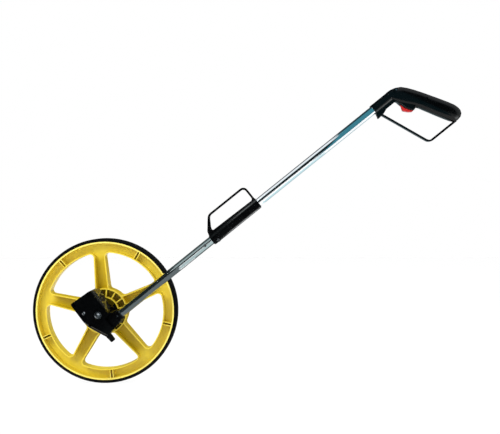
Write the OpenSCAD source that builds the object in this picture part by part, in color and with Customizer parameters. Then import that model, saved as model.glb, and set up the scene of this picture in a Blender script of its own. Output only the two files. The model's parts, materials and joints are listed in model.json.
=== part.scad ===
// Folding measuring wheel.  The wheel rolls one metre a turn and drives a
// five-figure counter in the housing.  The pole folds at a bracket with a
// carry loop, and a trigger in the grip works a brake shoe inside the hub.
// X runs from the wheel toward the grip, Z is up and the open side of the
// wheel faces -Y.  The origin is where the tyre touches the ground.

/* [Wheel] */
// Distance rolled in one turn
circumference = 1000; // [900:10:1200]
// Width of the rim between its two edges
rim_w = 24; // [22:1:30]
// Radial thickness of the rubber tyre
tyre_t = 7.5; // [4:0.5:12]
// Amount by which each tyre edge lies inside the rim edge
tyre_inset = 0.5; // [0.2:0.1:2]
// Width of the tongue that keys the tyre into the rim
tongue_w = 10; // [6:1:14]
// Height of that tongue
tongue_h = 1.2; // [0.6:0.1:1.8]
// Thickness of the rim flange under the tyre
flange_t = 3.2; // [2.6:0.1:5]
// Width of the open channel round the rim
channel_w = 18; // [12:1:26]
// Thickness of the web that closes the channels
web_t = 3; // [2:0.5:4]
// Distance of the web from the far edge of the rim
web_back = 4; // [2:0.5:6]
// Thickness of the walls round the windows
wall_t = 2.4; // [1.6:0.2:4]
// Number of spokes
spokes = 5; // [4:1:6]
// Direction of the first spoke above +X
spoke_start = 24; // [0:1:71]
// Width of a spoke where it meets the rim
spoke_w_rim = 25; // [18:1:32]
// Width of a spoke where it meets the hub
spoke_w_hub = 29; // [20:1:34]
// Fillet in the corners of a window
window_fillet = 8; // [4:0.5:10]
// Distance between the two stiffening ribs of a pair
rib_gap = 6; // [4:0.5:12]

/* [Hub] */
// Radius of the hub drum
hub_r = 50; // [44:1:56]
// Outer radius of the inner hub ring
hub_ring_r = 32; // [31:0.5:36]
// Distance of the hub's near face from the middle of the wheel
hub_near = 18; // [16:0.5:19]
// Number of ribs in the hub drum
hub_ribs = 15; // [10:1:20]
// Thickness of the hub rings and ribs
hub_wall = 2.4; // [1.6:0.2:3]
// Radius of the core that holds the bushes
core_r = 14; // [12:0.5:15]
// Diameter of the axle
axle_d = 10; // [8:0.5:11]
// Width across the flats of the dome nut on the axle
nut_w = 13; // [13:0.5:17]
// Wall of the hub bushes
bush_wall = 1.5; // [1:0.1:2]
// Thickness of a bush flange, washer or circlip
collar_t = 1.2; // [0.8:0.1:1.4]

/* [Counter] */
// Module of the drive gears
gear_module = 1.5; // [1.4:0.05:1.55]
// Teeth of each drive gear
gear_teeth = 18; // [17:1:19]
// Face width of the drive gears
gear_w = 4; // [3:0.25:4.25]
// Lean of the line from the axle to the drum shaft
counter_lean = 4; // [0:1:10]
// Number of figure drums
drums = 5; // [4:1:5]
// Width of the slot between two bands
drum_slot = 2; // [1.6:0.1:2.1]
// Diameter of the drum shaft
shaft_d = 4; // [3:0.5:5]
// Diameter of the transfer pinion shaft
pinion_shaft_d = 3; // [2:0.5:3.5]
// Module of the transfer teeth
transfer_module = 1.2; // [1.1:0.05:1.25]
// Thickness of the counter frame
frame_t = 1.2; // [1:0.1:1.4]

/* [Housing] */
// Distance of the housing's far face from the middle of the wheel
housing_far = 21; // [20.5:0.5:23]
// Thickness of the housing from far face to near face
housing_w = 50; // [48:1:58]
// Thickness of the housing walls
shell_t = 2.5; // [2:0.1:3]
// Thickness of the back plate
back_t = 3; // [2:0.5:3]
// Width of the chamfer along the lower edge of the cover
cover_chamfer = 7; // [3:0.5:9]
// Length of the pole socket beyond the housing
socket_len = 9.3; // [6:0.5:16]
// Wall of the pole socket
socket_wall = 3.4; // [2.5:0.1:4]
// Wall of the clear lens
lens_t = 1.8; // [1.2:0.1:2.4]
// Diameter of the housing screws
screw_d = 3; // [2.5:0.5:3.5]

/* [Brake] */
// Travel of the brake shoe
brake_travel = 1.9; // [1:0.1:2.4]
// Diameter of the brake cable
cable_d = 2.5; // [1.5:0.1:3]
// Radial thickness of the brake shoe
shoe_t = 5; // [3:0.5:7]

/* [Pole] */
// Angle of the pole above the ground
pole_angle = 38.85; // [30:0.05:45]
// Distance of the pole axis below the axle, square to the pole
pole_drop = 26.7; // [26:0.1:28]
// Outer diameter of the pole tubes
pole_d = 18; // [16:0.5:18]
// Wall of the pole tubes
pole_t = 1.2; // [1:0.1:1.8]
// Distance along the pole from the axle to the fold bracket
bracket_at = 283; // [240:1:330]
// Length of the fold bracket
bracket_len = 127.5; // [115:0.5:150]
// Wall of the fold bracket at its sides
bracket_wall = 3.2; // [2.5:0.1:5]
// Height of the carry loop above the pole axis
loop_h = 47.4; // [40:0.2:60]
// Thickness of the carry loop
loop_t = 4.3; // [3:0.1:6]
// Width of the carry loop
loop_w = 10; // [6:1:14]
// Diameter of the fold pin
fold_pin_d = 4; // [3:0.5:4.5]
// Length of the spigots inside the tubes
spigot_len = 36; // [25:1:60]

/* [Grip] */
// Distance along the pole from the axle to the grip
grip_at = 724.5; // [650:0.5:800]
// Thickness of the grip across its two halves
grip_w = 29; // [26:0.5:34]
// Length of the grip along the pole
grip_len = 145; // [140:1:150]
// Squareness of the grip's section
grip_square = 2.5; // [2:0.1:3.5]
// Thickness of the nose that holds the trigger
nose_w = 19; // [17:0.5:22]
// Rounding of the edges of the nose
grip_edge = 4; // [3:0.5:6]
// Wall of the grip socket round the pole
grip_wall = 1.9; // [1.5:0.1:3]
// Thickness of the hand guard
guard_t = 4; // [3:0.1:5.5]
// Width of the hand guard
guard_w = 8; // [6:0.5:10]
// Width of the trigger
trigger_w = 9; // [7:0.5:12]
// Diameter of the trigger pin
trigger_pin_d = 3; // [2.5:0.1:3.5]

/* [Fits] */
// Radial clearance of a shaft in its bore
run_fit = 0.05; // [0.02:0.01:0.1]
// Clearance between pieces that move past each other
gap = 0.4; // [0.3:0.05:0.6]

/* [Hidden] */
$fn = 64;
wheel_r = circumference / (2 * PI);
rim_r = wheel_r - tyre_t;
rim_half = rim_w / 2;
rim_inner_r = rim_r - flange_t;
window_r = rim_inner_r - channel_w - wall_t;
web_far = rim_half - web_back;
web_near = web_far - web_t;
pitch_angle = 360 / spokes;
half_pitch = pitch_angle / 2;
rib_t = 1.5;
rib_drop = 0.5;
brake_r = hub_ring_r - hub_wall;
axle_r = axle_d / 2;
thread_r = axle_r - 1;
bush_r = axle_r + run_fit + bush_wall;
flange_r = bush_r + 2;
gear_seat_r = bush_r + 2.4;

back_near = housing_far + back_t;
housing_near = housing_far + housing_w;
inner_near = housing_near - shell_t;
pole_out = housing_far + housing_w / 2;
pole_r = pole_d / 2;
bore_r = pole_r - pole_t;
gear_far = back_near + 2 * gap;
gear_near = gear_far + gear_w;
boss_end = gear_near + gap;
axle_boss_end = boss_end + collar_t + gap;
far_boss = rim_half - 4 * collar_t;
gear_pitch_r = gear_module * gear_teeth / 2;
shaft_at = 2 * gear_pitch_r * [-sin(counter_lean), cos(counter_lean)];
counter_clear = 3.8;
drum_play = 0.3;
transfer_teeth = 20;
pinion_teeth = 8;
transfer_reach = transfer_module * (transfer_teeth + pinion_teeth) / 2;
pinion_at = shaft_at - [transfer_reach, 0];
pinion_shaft_r = pinion_shaft_d / 2;
drum_r = transfer_reach - pinion_shaft_r - 0.3;
frame_far = gear_near + 2 * gap;
drums_far = frame_far + frame_t + gap;
frame_near = inner_near - counter_clear;
drum_pitch = (frame_near - drums_far) / drums;
drum_band = drum_pitch - drum_slot - drum_play;
pinion_w = drum_slot - 0.5;
shaft_r = shaft_d / 2;
sleeve_r = shaft_r + 1.5;

socket_end = 25 + socket_len;
pole_start = -3;
socket_stop = pole_start - 2;
socket_r = pole_r + socket_wall;
lever_pivot = [-10, -33];
lever_w = 6;
lever_near = inner_near - gap;
lever_far = lever_near - lever_w;
lever_slot = 1.2;
bar_x = [-19, -12.5];
return_len = socket_stop - bar_x[1] - brake_travel - gap;
bar_half = 5;
arm_t = housing_far - hub_near - 3 * gap;
screws_at = [[-25, 47], [10.5, 45.5], [-26, -6], [12, -40]];
counter_screw_at = [-21, 22];
screw_head_r = screw_d;

bracket_end = bracket_at + bracket_len;
channel_r = pole_r + gap;
bracket_half = channel_r + bracket_wall;
pin_at = [bracket_at + 12, 0.5 - pole_r];
eye_r = fold_pin_d / 2 + 2.5;
bulkhead_end = pin_at[0] - eye_r - gap;
tube_start = pin_at[0] + 7;
strike_y = pin_at[1] + 1.1;
spigot_r = bore_r;
cable_hole_r = cable_d / 2 + 0.3;
cable_r = cable_d / 2;
rivet_d = 3.6;

grip_half = grip_w / 2;
grip_socket_r = pole_r + grip_wall;
grip_scale = grip_len / 145;
pole_end = grip_at + 44 * grip_scale;
trigger_pivot = [grip_at + 64 * grip_scale, 3.2 * grip_scale];
cable_end = trigger_pivot - [0, 9.3 * grip_scale];
cable_lean = atan2(-cable_end[1], cable_end[0] - tube_start);
nipple_r = cable_r + 0.9;
trigger_bore_r = trigger_pin_d / 2 + run_fit;
slot_half = trigger_w / 2 + gap;
spring_w = 3.2;

// ---------------------------------------------------------------- outlines

function edge_normal(p, q) = [q[1] - p[1], p[0] - q[0]] / norm(q - p);

function at(points, i) = points[(i + len(points)) % len(points)];

// Moves every edge of a counter-clockwise outline outward by d.
function grow(points, d) = [for (i = [0:len(points) - 1])
    let (n1 = edge_normal(at(points, i - 1), points[i]))
    let (n2 = edge_normal(points[i], at(points, i + 1)))
    points[i] + d * (n1 + n2) / (1 + n1 * n2)];

// Replaces corner b of a path a, b, c by an arc of radius r.
function corner(a, b, c, r, steps) =
    let (n1 = edge_normal(a, b))
    let (n2 = edge_normal(b, c))
    let (turn = atan2(n1[0] * n2[1] - n1[1] * n2[0], n1 * n2))
    let (side = sign(turn))
    let (start = atan2(side * n1[1], side * n1[0]))
    let (centre = b - side * r * (n1 + n2) / (1 + n1 * n2))
    [for (i = [0:steps]) centre + r * [cos(start + turn * i / steps), sin(start + turn * i / steps)]];

function rounded(points, radii, steps = 5) = [for (i = [0:len(points) - 1])
    let (r = is_list(radii) ? radii[i] : radii)
    each r > 0 ? corner(at(points, i - 1), points[i], at(points, i + 1), r, steps) : [points[i]]];

function arc(centre, r, from, to, steps) = [for (i = [0:steps])
    let (a = from + (to - from) * i / steps)
    centre + r * [cos(a), sin(a)]];

// ---------------------------------------------------------------- frames

// Axle frame: X and Z as the part, Y through the wheel.
module at_axle() {
    translate([0, 0, wheel_r]) children();
}

// Housing frame: X along the pole, Z square to it, centred on the axle.
module at_housing() {
    at_axle() rotate([0, -pole_angle, 0]) children();
}

// Pole frame: X along the pole axis.
module at_pole() {
    at_housing() translate([0, -pole_out, -pole_drop]) children();
}

// Extrudes an outline in X and Z through Y, from depth far to depth near,
// where a depth is a distance toward the near side.
module slab(far, near) {
    translate([0, -far, 0]) rotate([90, 0, 0]) linear_extrude(near - far) children();
}

module disc(far, near, r, at = [0, 0]) {
    translate([at[0], -far, at[1]]) rotate([90, 0, 0]) cylinder(h = near - far, r = r);
}

module rod(x0, x1, r) {
    translate([x0, 0, 0]) rotate([0, 90, 0]) cylinder(h = x1 - x0, r = r);
}

// Revolves an outline of radius and depth round the axle.
module revolve() {
    rotate([90, 0, 0]) rotate_extrude() children();
}

// ---------------------------------------------------------------- gears

// Involute tooth flanks from the base circle to the tip.
function involute(base, r) = let (t = sqrt(max(0, r * r / (base * base) - 1))) t * 180 / PI - atan(t);

function tooth(m, z, slack, i) =
    let (pitch = m * z / 2)
    let (base = pitch * cos(20))
    let (tip = pitch + 0.9 * m)
    let (root = pitch - 1.15 * m)
    let (half = 90 / z - slack / pitch * 180 / PI + involute(base, pitch))
    let (radii = [for (k = [0:4]) max(base, root) + (tip - max(base, root)) * k / 4])
    let (middle = 360 * i / z)
    concat([root * [cos(middle - half), sin(middle - half)]],
        [for (r = radii) let (a = middle - half + involute(base, r)) r * [cos(a), sin(a)]],
        [for (k = [4:-1:0]) let (a = middle + half - involute(base, radii[k])) radii[k] * [cos(a), sin(a)]],
        [root * [cos(middle + half), sin(middle + half)]]);

module gear_outline(m, z, slack = 0.12) {
    polygon([for (i = [0:z - 1]) each tooth(m, z, slack, i)]);
}

// A close-wound coil round the Y axis, from depth 0 to its length.
module coil(r, wire, turns, length) {
    sides = 6;
    steps = 14 * turns;
    points = [for (i = [0:steps]) for (k = [0:sides - 1])
        let (a = 360 * turns * i / steps)
        let (s = 360 * k / sides)
        let (d = r + wire / 2 * cos(s))
        [d * cos(a), -(wire / 2 + (length - wire) * i / steps + wire / 2 * sin(s)), d * sin(a)]];
    skin = [for (i = [0:steps - 1]) for (k = [0:sides - 1])
        [i * sides + k, i * sides + (k + 1) % sides, (i + 1) * sides + (k + 1) % sides, (i + 1) * sides + k]];
    ends = [[for (k = [sides - 1:-1:0]) k], [for (k = [0:sides - 1]) steps * sides + k]];
    polyhedron(points = points, faces = concat(skin, ends));
}

// ---------------------------------------------------------------- wheel

module tyre() {
    half = rim_half - tyre_inset;
    color("#15171a") at_axle() revolve()
        polygon([[rim_r, -half], [wheel_r - 2.2, -half], [wheel_r, 2.4 - half], [wheel_r, half - 2.4],
            [wheel_r - 2.2, half], [rim_r, half], [rim_r, tongue_w / 2], [rim_r - tongue_h, tongue_w / 2],
            [rim_r - tongue_h, -tongue_w / 2], [rim_r, -tongue_w / 2]]);
}

// Outline of one window about +X, grown by d.
function window_outline(d) =
    let (f = window_fillet)
    let (y1 = spoke_w_rim / 2 + f)
    let (x1 = sqrt(pow(window_r - f, 2) - y1 * y1))
    let (y2 = spoke_w_hub / 2 + f)
    let (x2 = sqrt(pow(hub_r + f, 2) - y2 * y2))
    let (along = [cos(half_pitch), -sin(half_pitch)])
    let (across = [sin(half_pitch), cos(half_pitch)])
    let (c1 = x1 * along + y1 * across)
    let (c2 = x2 * along + y2 * across)
    let (a1 = half_pitch - atan2(y1, x1))
    let (a2 = half_pitch - atan2(y2, x2))
    concat(arc(c1, f + d, -90 - half_pitch, -a1, 6),
        [for (i = [1:11]) (window_r + d) * [cos(-a1 + 2 * a1 * i / 12), sin(-a1 + 2 * a1 * i / 12)]],
        arc([c1[0], -c1[1]], f + d, a1, 90 + half_pitch, 6),
        arc([c2[0], -c2[1]], f + d, 90 + half_pitch, 180 + a2, 5),
        [for (i = [1:4]) (hub_r - d) * [cos(a2 - 2 * a2 * i / 5), sin(a2 - 2 * a2 * i / 5)]],
        arc(c2, f + d, 180 - a2, 270 - half_pitch, 5));

module each_window() {
    for (i = [0:spokes - 1])
        rotate([0, -(spoke_start + half_pitch + i * pitch_angle), 0]) children();
}

// The rim flange, the web and the hub rings, as radius and depth.
module wheel_turning() {
    key = tongue_w / 2;
    revolve() polygon([[rim_inner_r, -rim_half], [rim_r, -rim_half], [rim_r, -key], [rim_r - tongue_h, -key],
        [rim_r - tongue_h, key], [rim_r, key], [rim_r, rim_half], [rim_inner_r, rim_half]]);
    disc(-web_far, -web_near, rim_inner_r + 1);
    difference() {
        disc(-web_far - 1, hub_near, hub_r);
        disc(-web_near, hub_near + 1, hub_r - hub_wall);
    }
    difference() {
        disc(-web_near - 1, hub_near, hub_ring_r);
        disc(-web_near, hub_near + 1, brake_r);
    }
    disc(-far_boss, 8, core_r);
    disc(0, boss_end - gap, gear_seat_r);
}

// Window walls, whose near edge slopes from the hub down to the rim.
module window_walls() {
    intersection() {
        each_window() slab(1 - rim_half, hub_near) polygon(window_outline(wall_t));
        revolve() polygon([[hub_r - hub_wall - 1, 1 - rim_half], [hub_r - hub_wall - 1, hub_near],
            [hub_r + window_fillet, hub_near - 1], [window_r - window_fillet, rim_half - 1],
            [window_r + wall_t + 1, rim_half - 1], [window_r + wall_t + 1, 1 - rim_half]]);
    }
}

module rim_ribs() {
    each_window() for (side = [-1, 1])
        translate([window_r, 1 - rim_half, side * rib_gap / 2 - rib_t / 2])
            cube([rim_inner_r - window_r + 1, rim_half - 1 + web_near + 1, rib_t]);
}

module hub_rib_ring() {
    for (i = [0:hub_ribs - 1])
        rotate([0, -(i + 0.5) * 360 / hub_ribs, 0])
            translate([hub_ring_r - hub_wall / 2, rib_drop - hub_near, -hub_wall / 2])
                cube([hub_r - hub_ring_r, hub_near + web_near + 1 - rib_drop, hub_wall]);
}

module wheel() {
    color("#d8b92c") at_axle() difference() {
        union() {
            wheel_turning();
            window_walls();
            rim_ribs();
            hub_rib_ring();
        }
        each_window() slab(-rim_half, hub_near + 1) polygon(window_outline(0));
        disc(-rim_half, boss_end + 1, bush_r);
        disc(-rim_half, -far_boss, flange_r + 1 + gap);
    }
}

module bush(inner, outer, flange_from) {
    difference() {
        union() {
            disc(inner, outer, bush_r);
            disc(flange_from, flange_from + collar_t, flange_r);
        }
        disc(inner - collar_t - 1, outer + collar_t + 1, axle_r + run_fit);
    }
}

module hub_bushes() {
    hub_end = boss_end - gap;
    color("#b08d4a") at_axle() {
        bush(hub_end - 14, hub_end, hub_end);
        bush(-far_boss, 14 - far_boss, -far_boss - collar_t);
    }
}

module drive_gear() {
    color("#e9e4d4") at_housing() difference() {
        slab(gear_far, gear_near) rotate(90 + counter_lean) gear_outline(gear_module, gear_teeth);
        disc(gear_far - 1, gear_near + 1, gear_seat_r);
    }
}

// ---------------------------------------------------------------- axle

module axle() {
    end = far_boss + 3 * collar_t + gap;
    color("#b9bcc0") at_axle() difference() {
        union() {
            disc(-end, housing_near - 1, axle_r);
            disc(-end, housing_near + 4, thread_r);
        }
        difference() {
            disc(collar_t - end, 2 * collar_t - end, axle_r + 1);
            disc(-end, 2 * collar_t - end + 1, axle_r - 1);
        }
    }
}

module axle_washer() {
    color("#a7aaae") at_axle() difference() {
        disc(-far_boss - 2 * collar_t - gap, -far_boss - collar_t - gap, flange_r + 1);
        disc(-far_boss - 3 * collar_t - gap, -far_boss, axle_r);
    }
}

module axle_circlip() {
    end = far_boss + 3 * collar_t + gap;
    color("#6f7378") at_axle() difference() {
        disc(collar_t - end - collar_t, collar_t - end, flange_r);
        disc(-end - 1, 1 - far_boss, axle_r);
    }
}

module axle_nut() {
    nut_h = 4.5;
    nut_r = nut_w / sqrt(3);
    color("#c7cacd") at_axle() difference() {
        union() {
            disc(housing_near, housing_near + 1, nut_r + 0.5);
            slab(housing_near + 1, housing_near + nut_h) circle(r = nut_r, $fn = 6);
            intersection() {
                translate([0, -housing_near - nut_h + 2, 0]) sphere(r = nut_w / 2 - 0.2);
                disc(housing_near + nut_h - 1, housing_near + 2 * nut_h + nut_r, nut_r);
            }
        }
        disc(housing_near - 1, housing_near + 4, thread_r);
    }
}

// ---------------------------------------------------------------- housing

// Side of the housing, counter-clockwise from its top corner.
housing_side = [[-31, 54], [-33, -8], [-16.5, -47], [-2, -44.3], [25, -41.5], [25, -13], [19, -9], [19, 51]];
housing_radii = [4, 8, 5, 3, 4, 3, 2, 4];
lens_side = [[15, -6], [18.6, -6], [26.5, 40], [24.5, 47], [19.5, 48.5], [15, 48.5]];
lens_radii = [0, 1, 6, 4, 3, 0];
lens_far = back_near + 3;
panel_side = [[-21, 28.5], [9, 28.5], [9, 42.5], [-21, 42.5]];
panel_depth = 0.7;
relief_side = [[7, -14], [40, -14], [40, -38], [7, -38]];
relief_depth = 8;
lens_near = inner_near - 2.5;

module housing_outline(d) {
    polygon(rounded(grow(housing_side, d), [for (r = housing_radii) max(0.8, r + d)]));
}

module lens_space() {
    slab(lens_far, lens_near) polygon(rounded(lens_side, lens_radii));
}

module counter_lens() {
    inner = [[14, 2 - 6], [16, 2 - 6], [24.5, 39.5], [22.5, 45.5], [19, 46.7], [14, 46.7]];
    color("#5a5f5a", 0.5) at_housing() difference() {
        lens_space();
        slab(lens_far + lens_t, lens_near - lens_t) polygon(rounded(inner, [0, 1, 5, 3, 2, 0]));
    }
}

module screw_holes(far) {
    for (p = screws_at) disc(far, housing_near + 1, screw_d / 2, p);
}

module housing_back() {
    color("#17181b") at_housing() difference() {
        slab(housing_far, back_near) housing_outline(0);
        disc(housing_far - 1, back_near + 1, gear_seat_r + 3);
        slab(housing_far - 1, back_near + 1)
            translate([bar_x[0] - gap, -pole_drop - bar_half - gap])
                square([bar_x[1] - bar_x[0] + brake_travel + 2 * gap, 2 * (bar_half + gap)]);
        screw_holes(housing_far - 1);
        disc(back_near - 1.5, back_near + 1, shaft_r, shaft_at);
    }
}

module cover_inside() {
    difference() {
        slab(back_near - 1, inner_near) housing_outline(-shell_t);
        disc(axle_boss_end, inner_near + 1, axle_r + 4);
        translate([0, -pole_out, -pole_drop]) rod(socket_stop, 26, socket_r);
        for (p = screws_at) disc(back_near, inner_near + 1, screw_d / 2 + 2.2, p);
        disc(frame_near + frame_t, inner_near + 1, screw_d / 2 + 2.2, counter_screw_at);
        slab(inner_near - relief_depth, inner_near + 1) polygon(grow(relief_side, -shell_t));
        disc(lever_near, inner_near + 1, 4, lever_pivot);
        slab(frame_far, frame_near + frame_t)
            translate([-40, shaft_at[1] - 7]) square([12, 14]);
    }
}

module housing_cover() {
    lower = housing_side[1];
    corner_at = housing_side[2];
    slope = atan2(corner_at[1] - lower[1], corner_at[0] - lower[0]);
    color("#101114") at_housing() difference() {
        union() {
            slab(back_near, housing_near) housing_outline(0);
            translate([0, -pole_out, -pole_drop]) rod(10, socket_end, socket_r);
        }
        cover_inside();
        lens_space();
        slab(lens_far + lens_t, lens_near - lens_t) translate([10, -4]) square([6, 50.7]);
        translate([0, -pole_out, -pole_drop]) rod(pole_start, socket_end + 1, pole_r);
        translate([0, -pole_out, -pole_drop]) rod(socket_stop - 1, pole_start + 1, cable_hole_r);
        disc(axle_boss_end - 1, housing_near - 1, axle_r);
        disc(axle_boss_end - 1, housing_near + 1, thread_r);
        screw_holes(back_near - 1);
        for (p = screws_at) disc(housing_near - 1.6, housing_near + 1, screw_head_r + 0.2, p);
        disc(inner_near - 3, housing_near + 1, screw_d / 2, counter_screw_at);
        disc(lever_near - 1, inner_near + 1.2, shaft_r, lever_pivot);
        // step down to the pole socket
        slab(housing_near - relief_depth, housing_near + 1) polygon(rounded(relief_side, 3));
        // shallow plain panel above the axle
        slab(housing_near - panel_depth, housing_near + 1) polygon(rounded(panel_side, 2));
        // opening for the zero reset lever
        slab(lever_far - lever_slot, lever_near + gap)
            translate([-16.8, -52]) square([16.8, 12]);
        // screw that holds the pole in its socket
        translate([socket_end - 7, -pole_out, -pole_drop]) rotate([90, 0, 0]) cylinder(h = 30, r = rivet_d / 2);
        // chamfer along the lower edge
        translate([lower[0], -housing_near, lower[1]]) rotate([0, -slope, 0]) rotate([45, 0, 0])
            translate([-30, cover_chamfer / sqrt(2) - 40, -40]) cube([120, 40, 80]);
    }
}

module housing_screws() {
    color("#8d9094") at_housing() for (p = screws_at) {
        disc(housing_far + 0.5, housing_near - 1.6, screw_d / 2, p);
        disc(housing_near - 1.6, housing_near - 0.3, screw_head_r, p);
    }
}

// ---------------------------------------------------------------- counter

module frame_outline() {
    hull() {
        translate(shaft_at) circle(r = 5);
        translate([-25, shaft_at[1] + 6]) square(1);
        translate([-28, shaft_at[1] - 7]) square(1);
    }
}

module counter_frame() {
    color("#c9ccd0") at_housing() difference() {
        union() {
            slab(frame_far, frame_far + frame_t) frame_outline();
            slab(frame_near, frame_near + frame_t) frame_outline();
            slab(frame_far, frame_near + frame_t)
                translate([-28, shaft_at[1] - 7]) square([frame_t, 14]);
        }
        disc(frame_near - 1, frame_near + 3, shaft_r, shaft_at);
        disc(frame_far - 1, frame_far + 3, sleeve_r + gap, shaft_at);
        disc(frame_far - 1, frame_near + 3, pinion_shaft_r, pinion_at);
        disc(frame_near - 1, frame_near + 3, screw_d / 2, counter_screw_at);
    }
}

module counter_screw() {
    color("#9a9da1") at_housing() {
        disc(frame_near + 0.2, housing_near, screw_d / 2, counter_screw_at);
        intersection() {
            translate([counter_screw_at[0], -housing_near + 2.4, counter_screw_at[1]]) sphere(r = screw_head_r + 1.2);
            disc(housing_near, housing_near + 4, screw_head_r + 1, counter_screw_at);
        }
    }
}

module drum_shaft() {
    color("#b9bcc0") at_housing() disc(back_near - 1.5, frame_near + frame_t + 0.6, shaft_r, shaft_at);
}

module pinion_shaft() {
    color("#b9bcc0") at_housing() disc(frame_far, frame_near + frame_t + 0.6, pinion_shaft_r, pinion_at);
}

// Driven gear, with a sleeve that carries the first drum.
module counter_gear() {
    half_tooth = 180 / gear_teeth;
    color("#e9e4d4") at_housing() difference() {
        union() {
            translate([shaft_at[0], 0, shaft_at[1]]) slab(gear_far, gear_near)
                rotate(270 + counter_lean + half_tooth) gear_outline(gear_module, gear_teeth);
            disc(gear_near - 1, drums_far, sleeve_r, shaft_at);
        }
        disc(gear_far - 1, drums_far + 1, shaft_r + run_fit, shaft_at);
    }
}

// Drum k counts from the far side; its transfer gear faces the wheel.
module number_drum(k) {
    far = drums_far + (k - 1) * drum_pitch;
    band_far = far + drum_slot;
    color("#f2f0e8") at_housing() translate([shaft_at[0], 0, shaft_at[1]]) difference() {
        union() {
            slab(far, band_far + 1) gear_outline(transfer_module, transfer_teeth);
            disc(band_far, band_far + drum_band, drum_r);
        }
        disc(band_far + 1.5, band_far + drum_band + 1, drum_r - 1.8);
        disc(far - 1, band_far + 2, shaft_r + run_fit);
    }
}

module transfer_pinion(k) {
    far = drums_far + k * drum_pitch + (drum_slot - pinion_w) / 2;
    color("#d9d5c6") at_housing() translate([pinion_at[0], 0, pinion_at[1]]) difference() {
        slab(far, far + pinion_w) rotate(180 / pinion_teeth) gear_outline(transfer_module, pinion_teeth, 0.2);
        disc(far - 1, far + pinion_w + 1, pinion_shaft_r + run_fit);
    }
}

// ---------------------------------------------------------------- reset lever

module reset_lever() {
    side = rounded([[-15, -33], [-15, -40], [-15.6, -47], [-14, -62.3], [-5, -62.3], [-4.2, -47], [-5, -40],
        [-5, -33]], [0, 0, 2, 2, 2, 2, 0, 0]);
    color("#1b1d21") at_housing() difference() {
        union() {
            slab(lever_far, lever_near) polygon(side);
            disc(lever_far, lever_near, 5, lever_pivot);
        }
        disc(lever_far - 1, lever_near + 1, shaft_r + run_fit, lever_pivot);
    }
}

module reset_pin() {
    color("#b9bcc0") at_housing() disc(lever_far - 5, inner_near + 1.2, shaft_r, lever_pivot);
}

module reset_spring() {
    color("#9a9da1") at_housing() translate([lever_pivot[0], gap - lever_far + 3.6, lever_pivot[1]])
        coil(shaft_r + 0.8, 0.9, 3, 3.6);
}

// ---------------------------------------------------------------- brake

module brake_shoe() {
    shoe_r = brake_r - brake_travel - gap;
    color("#3a3d42") at_housing() difference() {
        union() {
            // bar that the cable pulls
            slab(housing_far - gap - arm_t, pole_out + 4)
                translate([bar_x[0], -pole_drop - bar_half]) square([bar_x[1] - bar_x[0], 2 * bar_half]);
            // flat arm between the housing and the hub
            slab(housing_far - gap - arm_t, housing_far - gap) difference() {
                polygon([[bar_x[0], -pole_drop - bar_half], [bar_x[1], -pole_drop - bar_half],
                    [14, -21], [shoe_r, -6], [shoe_r - shoe_t, -4], [8, -16], [bar_x[1], 3 - pole_drop],
                    [bar_x[0], bar_half - pole_drop]]);
                difference() {
                    circle(r = 60);
                    circle(r = brake_r + 5);
                }
            }
            // curved shoe inside the hub ring
            slab(5, housing_far - gap) intersection() {
                difference() {
                    circle(r = shoe_r);
                    circle(r = shoe_r - shoe_t);
                }
                polygon([[0, 0], [60, -60], [60, -5]]);
            }
        }
        translate([0, -pole_out, -pole_drop]) rod(bar_x[0] - 1, bar_x[1] + 1, cable_r);
    }
}

module brake_spring() {
    color("#9a9da1") at_pole() translate([socket_stop, 0, 0]) rotate([0, 0, -90])
        coil(cable_r + 1.2, 0.9, 4, return_len);
}

module brake_cable_lower() {
    color("#77797d") at_pole() {
        rod(bar_x[0], bulkhead_end - brake_travel - gap, cable_r);
        rod(bar_x[0] - 1.6, bar_x[0], cable_r + 1.5);
    }
}

// Line of the upper cable, from the fold to the trigger.
module at_upper_cable() {
    translate([tube_start, 0, 0]) rotate([0, cable_lean, 0]) children();
}

module brake_cable_upper() {
    color("#77797d") at_pole() union() {
        at_upper_cable() rod(-6, norm(cable_end - [tube_start, 0]), cable_r);
        disc(-trigger_w / 2, trigger_w / 2, nipple_r, cable_end);
    }
}

// ---------------------------------------------------------------- pole

module tube(from, to) {
    difference() {
        rod(from, to, pole_r);
        rod(from - 1, to + 1, bore_r);
    }
}

// Round-headed rivets through both sides of a tube, clear of the cable.
module rivets(x) {
    for (side = [-1, 1]) rotate([90 * side, 0, 0]) translate([x, 0, 0]) {
        translate([0, 0, pole_r - 4]) cylinder(h = 4, r = rivet_d / 2);
        translate([0, 0, pole_r]) cylinder(h = 0.8, r = rivet_d / 2 + 1.2);
    }
}

module rivet_holes(x) {
    for (side = [-1, 1]) rotate([90 * side, 0, 0]) translate([x, 0, pole_r - 4])
        cylinder(h = 5, r = rivet_d / 2);
}

module lower_pole() {
    color("silver") at_pole() difference() {
        tube(pole_start, bracket_at);
        rivet_holes(bracket_at - spigot_len / 2);
        translate([socket_end - 7, 0, 0]) rotate([90, 0, 0]) cylinder(h = 30, r = rivet_d / 2);
    }
}

module pole_screw() {
    color("#9a9da1") at_pole() translate([socket_end - 7, 0, 0]) rotate([90, 0, 0])
        translate([0, 0, bore_r - 2]) cylinder(h = socket_r - bore_r + 2.6, r = rivet_d / 2);
}

// Section of the bracket: rounded outside, with a cradle open below.
module bracket_section() {
    r = bracket_half;
    polygon(rounded([[-r, -r], [r, -r], [r, r], [-r, r]], [5, 5, 0.9 * r, 0.9 * r], 12));
}

// Side view of the bracket's body, with its softened corners.
module bracket_side() {
    r = bracket_half;
    polygon(rounded([[bracket_at, -r], [bracket_end, -r], [bracket_end, r], [bracket_at, r]], [4, 4, 1.5, 5]));
}

module cradle() {
    circle(r = channel_r);
    translate([-channel_r, -2 * bracket_half]) square([2 * channel_r, 2 * bracket_half]);
}

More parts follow.
